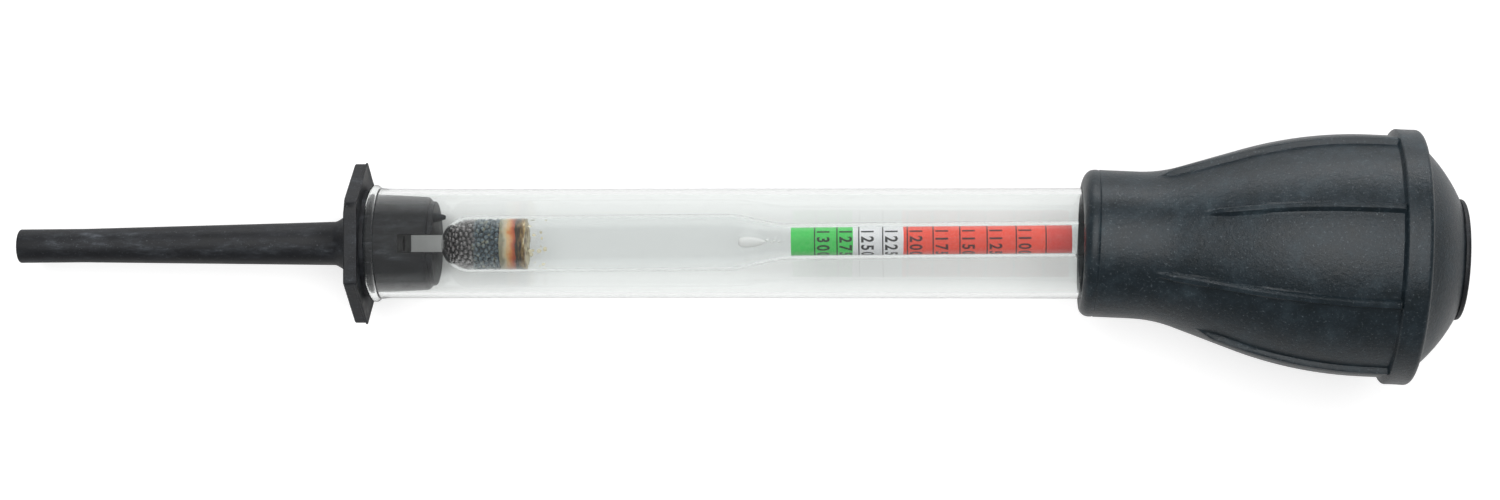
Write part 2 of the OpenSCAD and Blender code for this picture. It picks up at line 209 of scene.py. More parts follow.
tube_profile = (
    [(0, bore_r), (0, tip_r - 0.4)] + arc(0.4, tip_r - 0.4, 0.4, 180, 90, 4)[1:] + [(tip_len, tip_r)]
    + [(tip_len + taper_len * i / 8, tip_r + (root_r - tip_r) * i / 8) for i in range(1, 8)]
    + [(hex_x - flare_len * (1 - i / 8), root_r + flare_h * (i / 8) ** 1.3) for i in range(9)]
    + [(hex_x + 1, root_r + flare_h), (hex_x + 1, seat_r), (seat_end_x - 0.15, seat_r),
       (seat_end_x, seat_r - 0.15), (seat_end_x, plug_r), (seat_end_x + 1, plug_r)]
    + arc(plug_end_x - 0.8, plug_end_r - 0.8, 0.8, 90, 0) + [(plug_end_x, step_r)]
    + arc(nozzle_end_x - 0.3, step_r - 0.3, 0.3, 90, 0, 3) + [(nozzle_end_x, bore_r)])
tube = turned(tube_profile, 128)
# The soft tube has taken a slight set, and its tip lies a little off the glass's axis
for v in tube.verts:
    v.co.y -= droop * max(0.0, 1 - v.co.x / (hex_x - flare_len))
nozzle = object_of("nozzle_moulding", tube)

corner_r = hex_flats / 2 / math.cos(math.radians(30))
rim_scale = (hex_flats - 2 * flash_h) / hex_flats
plate = hexagon(corner_r * rim_scale * chamfer_scale, corner_round, hex_x)
end = grown(plate, plate.faces[:], hex_x + chamfer_t, 1 / chamfer_scale)
rim = sorted((v for v in plate.verts if abs(v.co.x - hex_x) < 1e-5),
             key=lambda v: math.atan2(v.co.z, v.co.y), reverse=True)
plate.faces.new(rim)
hex_end = hex_x + hex_t
for x, scale in ((hex_end - flash_t - 0.12, 1.0), (hex_end - flash_t, 1 / rim_scale),
                 (hex_end - 0.04, 1.0), (hex_end, 0.99), (hex_end - recess, 0.965),
                 (hex_end - recess, 0.9)):
    end = grown(plate, end, x, scale)
bmesh.ops.recalc_face_normals(plate, faces=plate.faces)
bmesh.ops.subdivide_edges(plate, edges=[e for e in plate.edges if e.calc_length() > 9
                                        and len(e.link_faces) == 2], cuts=17, use_grid_fill=True)
for v in plate.verts:
    at_lip = v.co.x > hex_end - flash_t - 0.05 and v.co.yz.length > 11.2
    ragged = noise.noise(v.co * 0.55) + 0.5 * noise.noise(v.co * 1.9)
    # The flash stands out most at the two corners that nothing rests on
    v.co.y *= 1 + (0.008 * ragged + 0.01 if at_lip else 0.0015 * ragged)
    v.co.z *= 1 + (0.004 * ragged - 0.004 if at_lip else 0.0015 * ragged)
    nick = (v.co - nick_spot).length
    if nick < nick_r:
        v.co.x += 0.35 * (1 - nick / nick_r)
        v.co.z -= 0.3 * (1 - nick / nick_r)
joined(nozzle, object_of("hexagon", plate), "UNION")

nib = bmesh.new()
bmesh.ops.create_cone(nib, cap_ends=True, segments=20, radius1=nib_r, radius2=nib_tip_r, depth=nib_len)
bmesh.ops.bevel(nib, geom=[e for e in nib.edges if all(v.co.z > 0 for v in e.verts)], offset=0.15,
                segments=2, profile=0.5, affect="EDGES", material=-1)
bmesh.ops.transform(nib, verts=nib.verts, matrix=Matrix.Translation((nozzle_end_x + nib_out, nib_y, nib_z))
                    @ Matrix.Rotation(math.radians(90), 4, "Y"))
joined(nozzle, object_of("nib", nib), "UNION")

slot_cut = bmesh.new()
bmesh.ops.create_cube(slot_cut, size=1, matrix=Matrix.Translation((nozzle_end_x - slot_depth / 2 + 1, 0, 0))
                      @ Matrix.Diagonal((slot_depth + 2, slot_w, slot_cut_w, 1)))
joined(nozzle, object_of("slot", slot_cut), "DIFFERENCE")
nozzle.data.shade_smooth()
nozzle.data.set_sharp_from_angle(angle=math.radians(35))

# Hard black rubber, moulded: satin and blue-black, smudged along its length, with grey dust
hard_rubber, tree, where = empty_material("hard_rubber_moulded")
# Smudges of about 2 mm by 6 mm, and specks of dust of about 0.3 mm
lengthwise = add_node(tree, "Mapping", {"Scale": (0.33, 1, 1)}, {"Vector": where})
mottle = add_node(tree, "TexNoise", {"Scale": 420, "Detail": 8, "Roughness": 0.66},
                  {"Vector": lengthwise.outputs["Vector"]})
tone = ramp(tree, mottle.outputs["Fac"],
            (0.34, "#0f1114"), (0.50, "#15171b"), (0.60, "#272a2e"), (0.71, "#4c5056"))
dust = add_node(tree, "TexNoise", {"Scale": 2800, "Detail": 3, "Roughness": 0.7}, {"Vector": where})
dusty = add_node(tree, "MapRange", {"From Min": 0.62, "From Max": 0.78, "To Max": 0.5},
                 {"Value": dust.outputs["Fac"]})
colour = add_node(tree, "Mix", {7: linear("#74787d")}, {0: dusty.outputs["Result"], 6: tone.outputs["Color"]},
                  data_type="RGBA")
gloss = add_node(tree, "MapRange", {"From Min": 0.3, "From Max": 0.75, "To Min": 0.42, "To Max": 0.66},
                 {"Value": mottle.outputs["Fac"]})
grain = add_node(tree, "TexNoise", {"Scale": 2400, "Detail": 4}, {"Vector": where})
relief = add_node(tree, "Bump", {"Strength": 0.35, "Distance": 0.00008}, {"Height": grain.outputs["Fac"]})
surface(tree, {"IOR": 1.52, "Specular IOR Level": 0.3},
        {"Base Color": colour.outputs[2], "Roughness": gloss.outputs["Result"],
         "Normal": relief.outputs["Normal"]})
nozzle.data.materials.clear()
nozzle.data.materials.append(hard_rubber)
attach(nozzle, "nozzle")
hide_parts("nozzle")


# ---- Glass barrel ----
# Drawn soda-lime tube, 20 mm across with a 1 mm wall. Its nozzle end is rolled over in a flame to a
# beaded lip, and its far end, inside the bulb's neck, is only fire-polished round.
barrel_r, wall_t, barrel_x, barrel_len, bead_r = 10.0, 1.0, 65.13, 150.0, 0.85
inner_r = barrel_r - wall_t
barrel_profile = (
    arc(barrel_x + bead_r, inner_r + bead_r, bead_r, 270, 20, 22)
    + [(barrel_x + 2.1, barrel_r + 0.12), (barrel_x + 2.9, barrel_r + 0.02), (barrel_x + 4, barrel_r)]
    + [(barrel_x + 4 + (barrel_len - 4.5) * i / 24, barrel_r) for i in range(1, 24)]
    + arc(barrel_x + barrel_len - 0.5, barrel_r - 0.5, 0.5, 90, -90, 8)
    + [(barrel_x + 4 + (barrel_len - 4.5) * i / 24, inner_r) for i in range(23, 0, -1)])
barrel = object_of("glass_barrel", turned(barrel_profile, 192), crease=60)


def clear_glass(tree, tint, ior, relief):
    """Ends a material with clear glass. Shadow rays pass it, so that lamps reach what it holds."""
    shader = add_node(tree, "BsdfPrincipled", {"Base Color": linear(tint), "Roughness": 0.0, "IOR": ior,
                                               "Transmission Weight": 1.0},
                      {"Normal": relief.outputs["Normal"]})
    path = add_node(tree, "LightPath")
    clear = add_node(tree, "BsdfTransparent", {"Color": (1, 1, 1, 1)})
    glass = add_node(tree, "MixShader", links={0: path.outputs["Is Shadow Ray"], 1: shader.outputs["BSDF"],
                                               2: clear.outputs["BSDF"]})
    add_node(tree, "OutputMaterial", links={"Surface": glass.outputs["Shader"]})


# Clear glass, nearly colourless, that greys the white behind it
barrel_glass, tree, where = empty_material("soda_lime_glass_drawn")
# Draw lines: long faint waves along the tube, a few millimetres round it
stretched = add_node(tree, "Mapping", {"Scale": (0.03, 1, 1)}, {"Vector": where})
waves = add_node(tree, "TexNoise", {"Scale": 260, "Detail": 3, "Roughness": 0.4},
                 {"Vector": stretched.outputs["Vector"]})
relief = add_node(tree, "Bump", {"Strength": 0.01, "Distance": 0.0001}, {"Height": waves.outputs["Fac"]})
clear_glass(tree, "#fbfdfc", 1.51, relief)
barrel.data.materials.append(barrel_glass)
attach(barrel, "barrel")
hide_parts("barrel")


# ---- Float envelope ----
# One lamp-blown vial of thin glass: a round end, a body 10.6 mm across, a shoulder drawn down in the
# flame and a long thin stem, sealed at its end inside the bulb. It lies on the bottom of the barrel.
float_x, float_z, float_askew = 77.4, -3.5, 0.5
body_r, body_len, shoulder_len, stem_r, stem_len = 5.3, 52.0, 12.0, 3.4, 60.0
body_wall, stem_wall = 0.5, 0.55
stem_x = body_len + shoulder_len
float_len = stem_x + stem_len
in_barrel = (on_table @ Matrix.Translation((float_x + body_len / 2, 0, float_z))
             @ Matrix.Rotation(math.radians(float_askew), 4, "Z")
             @ Matrix.Translation((-body_len / 2, 0, 0)))


def vial(r0, r1):
    """The outline of one face of the float's glass, from its round end to its stem's end."""
    shoulder = [(body_len + shoulder_len * i / 20,
                 r0 + (r1 - r0) * (1 - math.cos(math.pi * i / 20)) / 2) for i in range(21)]
    return (arc(body_r, 0, r0, 180, 90, 20)
            + [(body_r + (body_len - body_r) * i / 10, r0) for i in range(1, 10)]
            + shoulder + [(stem_x + (stem_len - stem_r) * i / 10, r1) for i in range(1, 10)]
            + arc(float_len - stem_r, 0, r1, 90, 0, 12))


outside = turned(vial(body_r, stem_r), 128, closed=False)
inside = turned(vial(body_r - body_wall, stem_r - stem_wall), 128, closed=False)
bmesh.ops.reverse_faces(inside, faces=inside.faces)
inner_mesh = bpy.data.meshes.new("inside")
inside.to_mesh(inner_mesh)
inside.free()
outside.from_mesh(inner_mesh)
bpy.data.meshes.remove(inner_mesh)
envelope = object_of("float_envelope", outside, in_barrel, crease=60)

# Thin clear glass, blown in a flame, which leaves a slow ripple of about 8 mm
float_glass, tree, where = empty_material("thin_glass_lamp_blown")
waves = add_node(tree, "TexNoise", {"Scale": 130, "Detail": 2, "Roughness": 0.4}, {"Vector": where})
relief = add_node(tree, "Bump", {"Strength": 0.015, "Distance": 0.0002}, {"Height": waves.outputs["Fac"]})
clear_glass(tree, "#fdfefe", 1.5, relief)
envelope.data.materials.append(float_glass)
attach(envelope, "float")
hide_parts("float_glass")


# ---- Lead shot ----
# Loose balls of lead, just under 1 mm across, that fill the float's round end and give it its weight.
# They are poured in, so they lie close and at random. The upper half is wetted by the resin.
shot_d, shot_n, shot_top, wet_from = 0.92, 950, 11.2, 6.2
chamber_r = body_r - body_wall
play_r = chamber_r - shot_d / 2 - 0.01
spacing, push, settling = shot_d * 1.01, 0.32, 220
chooser = random.Random(41)
balls = []
while len(balls) < shot_n:
    spot = Vector((chooser.uniform(0.5, shot_top), chooser.uniform(-chamber_r, chamber_r),
                   chooser.uniform(-chamber_r, chamber_r)))
    if (spot - Vector((max(spot.x, body_r), 0, 0))).length < play_r:
        balls.append(spot)
spots = np.array(balls)
# Balls that overlap push each other apart, and the glass and the resin hold them in
for turn in range(settling):
    square = (spots ** 2).sum(1)
    apart = square[:, None] + square[None] - 2 * spots @ spots.T
    np.fill_diagonal(apart, 9)
    first, second = np.nonzero(apart < spacing ** 2)
    gap = spots[first] - spots[second]
    length = np.maximum(np.linalg.norm(gap, axis=1), 1e-6)
    np.add.at(spots, first, push * gap * (spacing / length - 1)[:, None])
    spots[:, 0] = np.minimum(spots[:, 0], shot_top - shot_d / 2)
    centre = np.stack([np.maximum(spots[:, 0], body_r), np.zeros(len(spots)), np.zeros(len(spots))], 1)
    reach = spots - centre
    far = np.linalg.norm(reach, axis=1)
    held = centre + reach * (play_r / np.maximum(far, 1e-9))[:, None]
    spots = np.where((far > play_r)[:, None], held, spots)
ball = bmesh.new()
bmesh.ops.create_uvsphere(ball, u_segments=8, v_segments=6, radius=shot_d / 2)
ball_mesh = bpy.data.meshes.new("ball")
heap = bmesh.new()
for spot in spots:
    bmesh.ops.rotate(ball, verts=ball.verts, matrix=Matrix.Rotation(chooser.uniform(0, 6), 3, "X"))
    bmesh.ops.translate(ball, verts=ball.verts, vec=spot)
    ball.to_mesh(ball_mesh)
    bmesh.ops.translate(ball, verts=ball.verts, vec=-spot)
    heap.from_mesh(ball_mesh)
ball.free()
bpy.data.meshes.remove(ball_mesh)
shot = object_of("lead_shot", heap, in_barrel, crease=180)

# Dark gun-metal lead, tumbled bright. Past half way the balls wear a blue-grey skin of dried resin
lead, tree, where = empty_material("lead_shot_tumbled")
patches = add_node(tree, "TexNoise", {"Scale": 1100, "Detail": 3}, {"Vector": where})
along = add_node(tree, "SeparateXYZ", links={"Vector": where})
wet_x = (in_barrel @ Vector((wet_from, 0, 0))).x
ragged = add_node(tree, "MapRange", {"To Min": -0.0012, "To Max": 0.0012}, {"Value": patches.outputs["Fac"]})
place = add_node(tree, "Math", links={0: along.outputs["X"], 1: ragged.outputs["Result"]}, operation="ADD")
coated = add_node(tree, "MapRange", {"From Min": wet_x - 0.0003, "From Max": wet_x + 0.0003},
                  {"Value": place.outputs["Value"]})
tarnish = ramp(tree, patches.outputs["Fac"], (0.3, "#a39e9f"), (0.7, "#cbc6c7"))
skin = ramp(tree, patches.outputs["Fac"],
            (0.3, "#28343c"), (0.44, "#4a5c66"), (0.54, "#74838a"), (0.64, "#8b8d7c"), (0.78, "#a3a397"))
colour = add_node(tree, "Mix", links={0: coated.outputs["Result"], 6: tarnish.outputs["Color"],
                                      7: skin.outputs["Color"]}, data_type="RGBA")
metal = add_node(tree, "MapRange", {"To Min": 1.0, "To Max": 0.3}, {"Value": coated.outputs["Result"]})
surface(tree, {"Roughness": 0.22}, {"Base Color": colour.outputs[2], "Metallic": metal.outputs["Result"]})
shot.data.materials.append(lead)
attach(shot, "float")
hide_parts("ballast_shot")


# ---- Resin and waxes ----
# A layer of clear resin holds the shot down. Red sealing wax and a ragged brown wax, both poured hot,
# close it off. Each is a plug that wets the glass, with an uneven edge, and splashes dried beyond it.
fill_r = chamber_r - 0.015
# Where each plug starts and ends along the float, and between which places its glass edge shows
resin_ends, red_ends, brown_ends = (shot_top, 12.9), (12.62, 14.6), (14.2, 15.85)
resin_shown, red_shown, brown_shown = (shot_top, 12.6), (12.6, 14.25), (14.25, 15.9)


def poured(name, start, end, r, uneven, seed):
    """A plug of something poured inside the float, whose two faces are uneven towards the glass."""
    bm = turned([(start, 0), (start, r * 0.5), (start, r * 0.85), (start, r), ((start + end) / 2, r),
                 (end, r), (end, r * 0.85), (end, r * 0.5), (end, 0)], 96, closed=False)
    for v in bm.verts:
        if abs(v.co.x - (start + end) / 2) > 0.1:
            side = -1 if v.co.x < (start + end) / 2 else 1
            wave = noise.noise(Vector((seed, v.co.y * 0.5, v.co.z * 0.5)))
            wave += 0.5 * noise.noise(Vector((seed, v.co.y * 1.7, v.co.z * 1.7)))
            v.co.x += side * uneven * wave
    return object_of(name, bm, in_barrel, crease=50)


def through(tree, where, start, end, cloud, spread):
    """A number that runs from 0 to 1 between two places along the float, made uneven by a noise."""
    along = add_node(tree, "SeparateXYZ", links={"Vector": where})
    first, last = ((in_barrel @ Vector((x, 0, 0))).x for x in (start, end))
    share = add_node(tree, "MapRange", {"From Min": first, "From Max": last}, {"Value": along.outputs["X"]})
    stray = add_node(tree, "MapRange",
                     {"From Min": 0.3, "From Max": 0.7, "To Min": -spread, "To Max": spread},
                     {"Value": cloud.outputs["Fac"]})
    return add_node(tree, "Math", links={0: share.outputs["Result"], 1: stray.outputs["Result"]},
                    operation="ADD").outputs["Value"]


resin_disc = poured("resin_layer", *resin_ends, fill_r - 0.02, 0.12, 3.1)
# Clear resin gone yellow-green with age, stained orange where the red wax has bled into it
resin, tree, where = empty_material("clear_resin_yellowed")
cloud = add_node(tree, "TexNoise", {"Scale": 420, "Detail": 4}, {"Vector": where})
tone = ramp(tree, through(tree, where, *resin_shown, cloud, 0.3),
            (0.1, "#858068"), (0.4, "#b3aa90"), (0.75, "#c8b48c"), (1.0, "#c9955f"))
surface(tree, {"Roughness": 0.3, "IOR": 1.5, "Subsurface Weight": 0.4, "Subsurface Scale": 0.001},
        {"Base Color": tone.outputs["Color"]})
resin_disc.data.materials.append(resin)
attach(resin_disc, "float")
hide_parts("ballast_resin")

red_plug = poured("red_wax", *red_ends, fill_r - 0.01, 0.16, 7.7)
# Red-orange shellac wax: glossy where it wets the glass, orange where it is thin, darker where thick
red_wax, tree, where = empty_material("sealing_wax_red")
cloud = add_node(tree, "TexNoise", {"Scale": 600, "Detail": 4}, {"Vector": where})
tone = ramp(tree, through(tree, where, *red_shown, cloud, 0.25),
            (0.0, "#cfa877"), (0.25, "#c98248"), (0.55, "#b5562a"), (0.8, "#903a18"), (1.0, "#532813"))
surface(tree, {"Roughness": 0.35, "IOR": 1.44, "Subsurface Weight": 0.3, "Subsurface Scale": 0.001},
        {"Base Color": tone.outputs["Color"]})
red_plug.data.materials.append(red_wax)
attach(red_plug, "float")
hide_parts("red_wax_seal")

brown_plug = poured("brown_wax", *brown_ends, fill_r, 0.28, 12.3)
# Brown wax, drawn out in dark streaks round the glass, paler and golden at its far edge where it
# has come away
brown_wax, tree, where = empty_material("brown_wax_crazed")
# Streaks of about 0.3 mm along the float and 2 mm round it
squeezed = add_node(tree, "Mapping", {"Scale": (5, 1, 1)}, {"Vector": where})
cloud = add_node(tree, "TexNoise", {"Scale": 520, "Detail": 5, "Roughness": 0.6},
                 {"Vector": squeezed.outputs["Vector"]})
tone = ramp(tree, through(tree, where, *brown_shown, cloud, 0.55),
            (0.1, "#2e200d"), (0.45, "#5a4524"), (0.72, "#8d703f"), (0.92, "#c9b27c"), (1.0, "#e8dab4"))
surface(tree, {"Roughness": 0.4, "IOR": 1.44}, {"Base Color": tone.outputs["Color"]})
brown_plug.data.materials.append(brown_wax)
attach(brown_plug, "float")
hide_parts("brown_wax_seal")

# Splashes of the wax that dried on the glass, from the plug to 4 mm beyond it
splash_n, splash_start, splash_reach, splash_t = 17, 16.1, 3.6, 0.045
splashes = bmesh.new()
for n in range(splash_n):
    at = splash_start + splash_reach * chooser.random() ** 1.3
    turn = chooser.uniform(0, 2 * math.pi)
    size = chooser.uniform(0.2, 0.52)
    bmesh.ops.create_uvsphere(splashes, u_segments=10, v_segments=6, radius=1, matrix=(
        Matrix.Translation((at, 0, 0)) @ Matrix.Rotation(turn, 4, "X")
        @ Matrix.Translation((0, 0, chamber_r - 0.05))
        @ Matrix.Diagonal((size * chooser.uniform(0.6, 1.3), size, splash_t, 1))))
for v in splashes.verts:
    v.co.x += 0.12 * noise.noise(v.co * 4)
wax_splashes = object_of("wax_splashes", splashes, in_barrel, crease=60)
# Thin dried splashes: a yellow-brown film that lets the glass behind it show
film, tree, where = empty_material("brown_wax_thin_film")
cloud = add_node(tree, "TexNoise", {"Scale": 1800, "Detail": 3}, {"Vector": where})
tone = ramp(tree, cloud.outputs["Fac"], (0.35, "#e0d5ac"), (0.65, "#f3ecd2"))
surface(tree, {"Roughness": 0.4, "IOR": 1.44, "Alpha": 0.5}, {"Base Color": tone.outputs["Color"]})
wax_splashes.data.materials.append(film)
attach(wax_splashes, "float")


# ---- Paper scale ----
# A printed strip, rolled into a tube and slid into the stem. A green band, a white band and a red one
# run along it, with a thin black line at every mark and the mark's number printed across the strip.
paper_r, paper_x, paper_len, paper_t = 2.6, 64.3, 51.0, 0.12
marks = ((4.33, "1300"), (8.40, "1275"), (12.37, "1250"), (16.71, "1225"), (21.18, "1200"),
         (25.86, "1175"), (30.70, "1150"), (35.64, "1125"), (40.91, "1100"), (46.30, ""))
line_t, line_r, ink_t = 0.24, paper_r + 0.004, 0.012
digit_h, digit_w, digit_bold, digit_pitch, digit_start, digit_gap = 2.2, 0.7, 0.085, 1.46, 38, 0.5
green_end, white_end = 11.1, 20.3
strip = object_of("scale_strip", turned([(paper_x, paper_r - paper_t), (paper_x, paper_r),
                                         (paper_x + paper_len, paper_r),
                                         (paper_x + paper_len, paper_r - paper_t)], 96), in_barrel)

printed_paper, tree, where = empty_material("paper_printed_matt")
start_x = (in_barrel @ Vector((paper_x, 0, 0))).x
along = add_node(tree, "SeparateXYZ", links={"Vector": where})
fibre = add_node(tree, "TexNoise", {"Scale": 2600, "Detail": 4, "Roughness": 0.6}, {"Vector": where})
edge = add_node(tree, "MapRange", {"To Min": -0.00006, "To Max": 0.00006}, {"Value": fibre.outputs["Fac"]})
from_start = add_node(tree, "Math", {1: start_x}, {0: along.outputs["X"]}, operation="SUBTRACT")
uneven = add_node(tree, "Math", links={0: from_start.outputs["Value"], 1: edge.outputs["Result"]},
                  operation="ADD")
share = add_node(tree, "Math", {1: paper_len / 1000}, {0: uneven.outputs["Value"]}, operation="DIVIDE")
bands = ramp(tree, share.outputs["Value"],
             (0.0, "#2fd453"), (green_end / paper_len, "#f4f4f7"), (white_end / paper_len, "#ff4a30"),
             (marks[-1][0] / paper_len, "#ee3f36"))
bands.color_ramp.interpolation = "CONSTANT"
worn = add_node(tree, "MapRange", {"From Min": 0.35, "From Max": 0.7, "To Min": 0.0, "To Max": 0.08},
                {"Value": fibre.outputs["Fac"]})
ink = add_node(tree, "Mix", {7: linear("#f6f2ee")}, {0: worn.outputs["Result"], 6: bands.outputs["Color"]},
               data_type="RGBA")
relief = add_node(tree, "Bump", {"Strength": 0.2, "Distance": 0.00003}, {"Height": fibre.outputs["Fac"]})
surface(tree, {"Roughness": 0.6}, {"Base Color": ink.outputs[2], "Normal": relief.outputs["Normal"]})
strip.data.materials.append(printed_paper)
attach(strip, "float")
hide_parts("scale_paper")

lines = bmesh.new()
for at, _ in marks:
    low, high = paper_x + at - line_t / 2, paper_x + at + line_t / 2
    ring = turned([(low, line_r), (low, line_r + ink_t), (high, line_r + ink_t), (high, line_r)], 64)
    ring_mesh = bpy.data.meshes.new("ring")
    ring.to_mesh(ring_mesh)
    ring.free()
    lines.from_mesh(ring_mesh)
    bpy.data.meshes.remove(ring_mesh)
mark_lines = object_of("scale_lines", lines, in_barrel)

numerals = bmesh.new()
for at, number in marks:
    for k, digit in enumerate(number):
        curve = bpy.data.curves.new("digit", "FONT")
        curve.body = digit
        curve.size = digit_h * 1.42
        curve.align_x = "CENTER"
        curve.offset = digit_bold
        text = bpy.data.objects.new("digit", curve)
        bpy.context.scene.collection.objects.link(text)
        bpy.context.view_layer.update()
        flat = bpy.data.meshes.new_from_object(text.evaluated_get(bpy.context.evaluated_depsgraph_get()))
        bpy.data.objects.remove(text)
        one = bmesh.new()
        one.from_mesh(flat)
        bmesh.ops.subdivide_edges(one, edges=[e for e in one.edges if e.calc_length() > 0.5], cuts=2)
        bmesh.ops.triangulate(one, faces=one.faces)
        for v in one.verts:
            turn = math.radians(90 - digit_start) + (k * digit_pitch + v.co.x * digit_w) / paper_r
            r = paper_r + 0.02
            v.co = (paper_x + at + digit_gap + v.co.y, r * math.cos(turn), r * math.sin(turn))
        one.to_mesh(flat)
        one.free()
        numerals.from_mesh(flat)
        bpy.data.meshes.remove(flat)
mark_numbers = object_of("scale_numerals", numerals, in_barrel, crease=180)

# Black printer's ink, thin enough to take a little of each band's colour, and worn in places
printers_ink, tree, where = empty_material("printers_ink_black")
along = add_node(tree, "SeparateXYZ", links={"Vector": where})
share = add_node(tree, "MapRange", {"From Min": start_x, "From Max": start_x + paper_len / 1000},
                 {"Value": along.outputs["X"]})
tinted = ramp(tree, share.outputs["Result"],
              (0.0, "#0f371b"), (green_end / paper_len, "#2a2b2e"), (white_end / paper_len, "#4f1516"))
tinted.color_ramp.interpolation = "CONSTANT"
fibre = add_node(tree, "TexNoise", {"Scale": 4000, "Detail": 3}, {"Vector": where})
worn = add_node(tree, "MapRange", {"From Min": 0.5, "From Max": 0.75, "To Max": 0.3},
                {"Value": fibre.outputs["Fac"]})
tone = add_node(tree, "Mix", {7: linear("#8f8a86")}, {0: worn.outputs["Result"], 6: tinted.outputs["Color"]},
                data_type="RGBA")
surface(tree, {"Roughness": 0.6}, {"Base Color": tone.outputs[2]})
for printed in (mark_lines, mark_numbers):
    printed.data.materials.append(printers_ink)
    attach(printed, "float")


# ---- Glue drop ----
# A drop of white glue that ran down when the strip was stuck in. It dried on the bottom of the
# shoulder as a teardrop, with a thin trail of beads up to the stem.
glue_x, glue_len, glue_r, glue_z, glue_flat, glue_climb = 54.4, 5.0, 1.3, -3.5, 0.6, math.radians(6)
# Each bead of the trail: its place along the float, its place across, and its radius
glue_beads = ((59.7, 0.25, 0.3), (60.5, -0.1, 0.22), (61.1, 0.15, 0.26), (61.9, 0.0, 0.18), (62.8, 0.1, 0.14))
drop = turned([(glue_len * (1 - math.cos(math.pi * i / 16)) / 2,
                glue_r * math.sin(math.pi * i / 16) ** 0.7 * (1.1 - 0.7 * i / 16)) for i in range(17)],
              32, closed=False)
bmesh.ops.transform(drop, verts=drop.verts, matrix=Matrix.Translation((glue_x, 0, glue_z))
                    @ Matrix.Rotation(-glue_climb, 4, "Y") @ Matrix.Diagonal((1, 1, glue_flat, 1)))
for at, side, bead in glue_beads:
    fall = (1 + math.cos(math.pi * (at - body_len) / shoulder_len)) / 2
    wall_r = stem_r - stem_wall + (chamber_r - stem_r + stem_wall) * fall
    bmesh.ops.create_uvsphere(drop, u_segments=12, v_segments=8, radius=bead,
                              matrix=Matrix.Translation((at, side, -(wall_r - bead * 0.8))))
glue_drop = object_of("glue_drop", drop, in_barrel, crease=60)
# White emulsion glue, dried glossy with a faint cloud
white_glue, tree, where = empty_material("white_glue_dried")
cloud = add_node(tree, "TexNoise", {"Scale": 1500, "Detail": 3}, {"Vector": where})
tone = ramp(tree, cloud.outputs["Fac"], (0.3, "#fcfcfa"), (0.7, "#ffffff"))
surface(tree, {"Roughness": 0.28, "IOR": 1.46, "Specular IOR Level": 1.0},
        {"Base Color": tone.outputs["Color"]})
glue_drop.data.materials.append(white_glue)
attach(glue_drop, "float")
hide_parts("scale_glue")


# ---- Squeeze bulb ----
# Soft rubber, moulded in one piece: a neck that grips the glass, a body with eight ribs, a ring and a
# shallow dome. It leans a little on the glass. A squeeze moves only its flanks, so the skin is made in
# four quarters, edge to edge.
mouth_x, bend_at, lean, sag = 194.23, 8.5, math.radians(2.6), 0.25
neck_r, neck_len, neck_curve, slope, body_curve, bulb_r = 13.3, 9.5, 24.0, math.radians(18.3), 73.0, 21.8
throat_r, throat_end, bulb_wall = 10.03, 22.0, 2.2
ring_at, ring_r, ring_end, ring_round = 54.5, 23.0, 59.6, 1.0
dome_r, dome_curve, bulb_len, hole_r = 20.4, 30.0, 67.0, 7.52
rib_n, rib_h, rib_w, rib_starts, rib_rise, rib_widen = 8, 0.95, 1.15, (20.4, 12.6), 3.5, 5
seam_at, half_turn_steps, crowding, chamber_start, chamber_end = 36.0, 176, 0.1, 27, 57

slope_at = neck_len + neck_curve * math.sin(slope)
slope_r = neck_r + neck_curve * (1 - math.cos(slope))
crown_at = slope_at + (bulb_r - neck_r - (neck_curve + body_curve) * (1 - math.cos(slope))) / math.tan(slope)
full_at = crown_at + body_curve * math.sin(slope)


def skin_r(a):
    """Radius of the bulb's skin at a distance from its mouth."""
    if a < neck_len:
        return neck_r
    if a < slope_at:
        return neck_r + neck_curve - math.sqrt(neck_curve ** 2 - (a - neck_len) ** 2)
    if a < crown_at:
        return slope_r + (a - slope_at) * math.tan(slope)
    return bulb_r if a > full_at else bulb_r - body_curve + math.sqrt(body_curve ** 2 - (full_at - a) ** 2)


def along_skin(start, end, steps, inset=0):
    """Points along the bulb's skin, or a wall's thickness inside it, between two distances from its mouth."""
    places = [start + (end - start) * i / steps for i in range(steps + 1)]
    return [(a, skin_r(a) - inset) for a in places]


def ease(t):
    """A soft start and a soft end from 0 to 1."""
    t = min(max(t, 0.0), 1.0)
    return t * t * (3 - 2 * t)


outer_front = ([(0.35, throat_r), (0.1, throat_r + 0.1), (0, throat_r + 0.35), (0, 11.3)]
               + arc(1.8, neck_r - 1.8, 1.8, 180, 90, 8)[1:]
               + [(2.35, neck_r), (2.55, neck_r - 0.12), (2.75, neck_r + 0.02)]
               + along_skin(3.2, seam_at, 62))
inner_front = (along_skin(seam_at, chamber_start, 8, bulb_wall)
               + [(24.5, 12.2), (throat_end, throat_r), (16, throat_r), (10, throat_r), (5, throat_r)])
dome_foot, dome_top = Vector((ring_end, dome_r)), Vector((bulb_len, 10.9))
chord = dome_top - dome_foot
dome_centre = (dome_foot + dome_top) / 2 + Vector((chord.y, -chord.x)).normalized() * math.sqrt(
    dome_curve ** 2 - (chord.length / 2) ** 2)
dome_from, dome_to = (math.degrees(math.atan2(p.y - dome_centre.y, p.x - dome_centre.x))
                      for p in (dome_foot, dome_top))
